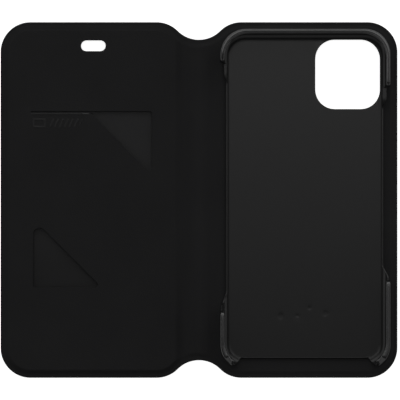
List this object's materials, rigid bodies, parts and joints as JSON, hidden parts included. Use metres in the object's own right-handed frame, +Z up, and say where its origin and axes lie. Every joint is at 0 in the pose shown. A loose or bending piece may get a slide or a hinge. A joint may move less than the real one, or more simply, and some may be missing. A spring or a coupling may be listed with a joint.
{
  "type": "phone wallet case",
  "caption": "Book-style phone folio lying open: rigid tray with raised corner rims on the right, folding front flap with a card pocket, finger windows and earpiece slot on the left.",
  "frame": {"origin": "middle of the open cover, on the surface that the case rests on", "axes": "+X across the open book towards the tray side, +Y towards the phone's top, +Z up out of the lining"},
  "size_m": [0.188, 0.1686, 0.0128],
  "materials": {
    "outer_leather": "fine-grained matt black leather",
    "inner_lining": "smooth soft-touch black lining",
    "stiffener_board": "plain grey board",
    "padding_foam": "fine closed-cell foam",
    "pocket_cloth": "fine satin weave",
    "adhesive_film": "thin film",
    "tray_plastic": "satin moulded black plastic",
    "bumper_rim": "semi-gloss moulded black rim"
  },
  "bodies": {
    "back": {"back_outer_skin": "outer_leather", "back_board": "stiffener_board", "back_lining": "inner_lining", "tray_bond": "adhesive_film", "tray_shell": "tray_plastic", "top_bumper": "bumper_rim", "lower_left_bumper": "bumper_rim", "lower_right_bumper": "bumper_rim"},
    "spine": {"spine_outer_skin": "outer_leather", "spine_board": "stiffener_board", "spine_lining": "inner_lining"},
    "flap": {"front_outer_skin": "outer_leather", "front_board": "stiffener_board", "flap_padding": "padding_foam", "pocket_backing": "pocket_cloth", "front_lining": "inner_lining", "pocket_panel": "inner_lining"}
  },
  "joints": [
    {"name": "spine_fold", "type": "hinge", "parent": "back", "child": "spine", "pos_m": [0.0074, 0, 0.0009], "axis": [0, 1, 0], "range_deg": [-90, 90]},
    {"name": "flap_fold", "type": "hinge", "parent": "spine", "child": "flap", "pos_m": [-0.0074, 0, 0.0009], "axis": [0, 1, 0], "range_deg": [-90, 90]}
  ]
}
